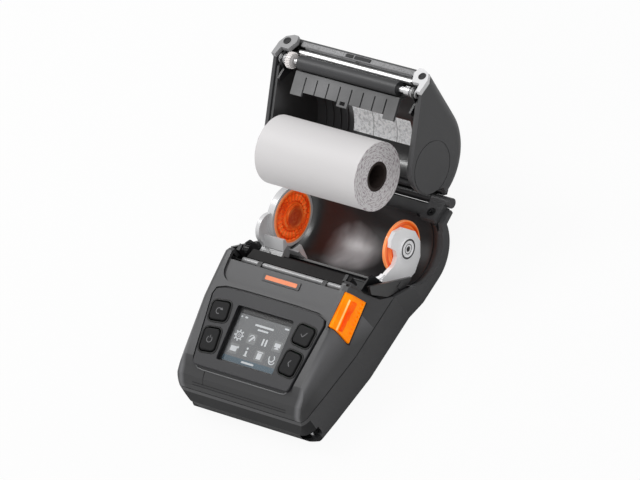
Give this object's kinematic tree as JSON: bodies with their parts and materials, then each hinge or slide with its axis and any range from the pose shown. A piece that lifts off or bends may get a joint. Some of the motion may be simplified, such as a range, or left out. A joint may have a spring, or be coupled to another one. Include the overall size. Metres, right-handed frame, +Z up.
{
  "type": "portable label printer",
  "caption": "Portable label printer with a hinged lid that carries the platen, a roll bay with sliding guides, a sloping control panel and a release lever.",
  "frame": {"origin": "middle of the flat face the printer rests on", "axes": "+X to the printer's right, +Y to its back (the hinge side), +Z up"},
  "size_m": [0.122, 0.2152, 0.1109],
  "materials": {
    "body_grey": "fine matte texture",
    "panel_dark": "matte",
    "black_gloss": "gloss",
    "black_satin": "satin",
    "guide_grey": "satin",
    "light_grey": "satin",
    "orange_clear": "translucent gloss",
    "key_rubber": "matte",
    "platen_rubber": "fine ground",
    "steel": "bright",
    "steel_sheet": "plated sheet",
    "aluminium": "matt",
    "nylon_white": "satin",
    "brass": "turned",
    "screen": "clear gloss",
    "screen_panel": "satin",
    "badge": "satin",
    "board": "satin",
    "ceramic": "gloss",
    "label_paper": "smooth",
    "label_sheet": "smooth",
    "core_board": "fibre"
  },
  "bodies": {
    "base": {"base_housing": "body_grey", "front_cover": "body_grey", "control_plate": "panel_dark", "display_window": "screen", "display_module": "screen_panel", "keypad_board": "board", "badge_plate": "badge", "main_board": "board", "io_connectors": "black_satin", "strap_pins": "steel", "mechanism_frame": "steel_sheet", "guide_rail": "steel", "gear_pins": "steel", "drive_motor": "steel", "print_head": "ceramic", "heat_sink": "aluminium", "head_spring": "steel", "tear_bar": "steel", "bar_clamps": "black_satin", "base_screws": "steel", "compartment_liner": "black_gloss", "hinge_brackets": "black_satin", "hinge_screws": "steel", "hinge_shaft": "steel", "rack_cover": "black_satin", "media_sensor": "black_satin"},
    "lid": {"lid_shell": "body_grey", "lid_liner": "black_gloss", "loading_label": "label_sheet", "lid_rod": "steel", "lid_lip": "panel_dark", "lid_end_caps": "light_grey", "platen_bushings": "brass", "platen_brackets": "black_satin", "media_comb": "guide_grey"},
    "platen": {"platen_roller": "platen_rubber", "platen_shaft": "steel", "platen_gear": "nylon_white"},
    "label_roll": {"label_media": "label_paper", "label_core": "core_board"},
    "left_guide_body": {"left_guide": "guide_grey"},
    "right_guide_body": {"right_guide": "guide_grey"},
    "left_disc_body": {"left_disc": "orange_clear"},
    "right_disc_body": {"right_disc": "orange_clear"},
    "guide_pinion_body": {"guide_pinion": "nylon_white"},
    "lever": {"release_lever": "orange_clear"},
    "latch": {"latch_shaft": "steel", "latch_hooks": "steel_sheet"},
    "drive_gear_body": {"drive_gear": "nylon_white"},
    "idler_gear_body": {"idler_gear": "nylon_white"},
    "transfer_gear_body": {"transfer_gear": "nylon_white"},
    "motor_pinion_body": {"motor_pinion": "brass"},
    "feed_key": {"key_feed": "key_rubber"},
    "power_key": {"key_power": "key_rubber"},
    "select_key": {"key_select": "key_rubber"},
    "back_key": {"key_back": "key_rubber"},
    "battery": {"battery_pack": "black_satin"},
    "socket_cover": {"port_cover": "key_rubber"}
  },
  "joints": [
    {"name": "lid_hinge", "type": "hinge", "parent": "base", "child": "lid", "pos_m": [0, 0.108, 0.027], "axis": [1, 0, 0], "range_deg": [0, 92]},
    {"name": "roll_seating", "type": "slide", "parent": "base", "child": "label_roll", "axis": [0, -0.31, -0.9507], "range_m": [0, 0.05322]},
    {"name": "platen_spin", "type": "hinge", "parent": "lid", "child": "platen", "pos_m": [0, 0.13414, 0.10514], "axis": [1, 0, 0], "continuous": true},
    {"name": "left_guide_slide", "type": "slide", "parent": "base", "child": "left_guide_body", "axis": [-1, 0, 0], "range_m": [-0.024, 0]},
    {"name": "right_guide_slide", "type": "slide", "parent": "base", "child": "right_guide_body", "axis": [1, 0, 0], "range_m": [-0.024, 0]},
    {"name": "guide_pinion_spin", "type": "hinge", "parent": "base", "child": "guide_pinion_body", "pos_m": [0, 0.0314, 0.0257], "axis": [0, 0, 1], "range_deg": [-470, 0]},
    {"name": "left_disc_spin", "type": "hinge", "parent": "left_guide_body", "child": "left_disc_body", "pos_m": [-0.045, 0.069, 0.0274], "axis": [1, 0, 0], "continuous": true},
    {"name": "right_disc_spin", "type": "hinge", "parent": "right_guide_body", "child": "right_disc_body", "pos_m": [0.045, 0.069, 0.0274], "axis": [1, 0, 0], "continuous": true},
    {"name": "release_lever_slide", "type": "slide", "parent": "base", "child": "lever", "axis": [0, 0.9628, 0.2701], "range_m": [0, 0.003]},
    {"name": "latch_turn", "type": "hinge", "parent": "base", "child": "latch", "pos_m": [0, 0.026, 0.0325], "axis": [-1, 0, 0], "range_deg": [0, 7]},
    {"name": "drive_gear_spin", "type": "hinge", "parent": "base", "child": "drive_gear_body", "pos_m": [-0.0472, 0.0316, 0.0386], "axis": [1, 0, 0], "continuous": true},
    {"name": "idler_gear_spin", "type": "hinge", "parent": "base", "child": "idler_gear_body", "pos_m": [-0.0472, 0.0192, 0.0365], "axis": [1, 0, 0], "continuous": true},
    {"name": "transfer_gear_spin", "type": "hinge", "parent": "base", "child": "transfer_gear_body", "pos_m": [-0.0472, 0.0117, 0.0271], "axis": [1, 0, 0], "continuous": true},
    {"name": "motor_pinion_spin", "type": "hinge", "parent": "base", "child": "motor_pinion_body", "pos_m": [-0.0472, 0.0064, 0.0205], "axis": [1, 0, 0], "continuous": true},
    {"name": "battery_slide", "type": "slide", "parent": "base", "child": "battery", "axis": [0, 0, -1], "range_m": [0, 0.022]},
    {"name": "port_cover_hinge", "type": "hinge", "parent": "base", "child": "socket_cover", "pos_m": [-0.058, 0, 0.0065], "axis": [0, -1, 0], "range_deg": [0, 100]},
    {"name": "feed_key_press", "type": "slide", "parent": "base", "child": "feed_key", "axis": [0, 0.2701, -0.9628], "range_m": [0, 0.0006], "stiffness_N_per_m": 600},
    {"name": "power_key_press", "type": "slide", "parent": "base", "child": "power_key", "axis": [0, 0.2701, -0.9628], "range_m": [0, 0.0006], "stiffness_N_per_m": 600},
    {"name": "select_key_press", "type": "slide", "parent": "base", "child": "select_key", "axis": [0, 0.2701, -0.9628], "range_m": [0, 0.0006], "stiffness_N_per_m": 600},
    {"name": "back_key_press", "type": "slide", "parent": "base", "child": "back_key", "axis": [0, 0.2701, -0.9628], "range_m": [0, 0.0006], "stiffness_N_per_m": 600}
  ],
  "couplings": [
    {"joint": "roll_seating", "follows": "lid_hinge", "m_per_rad": 0.033138},
    {"joint": "right_guide_slide", "follows": "left_guide_slide", "ratio": 1},
    {"joint": "guide_pinion_spin", "follows": "left_guide_slide", "rad_per_m": 333.33},
    {"joint": "latch_turn", "follows": "release_lever_slide", "rad_per_m": 40.666},
    {"joint": "idler_gear_spin", "follows": "drive_gear_spin", "ratio": -1.0909},
    {"joint": "transfer_gear_spin", "follows": "drive_gear_spin", "ratio": 1.1429},
    {"joint": "motor_pinion_spin", "follows": "drive_gear_spin", "ratio": -2.6667}
  ]
}
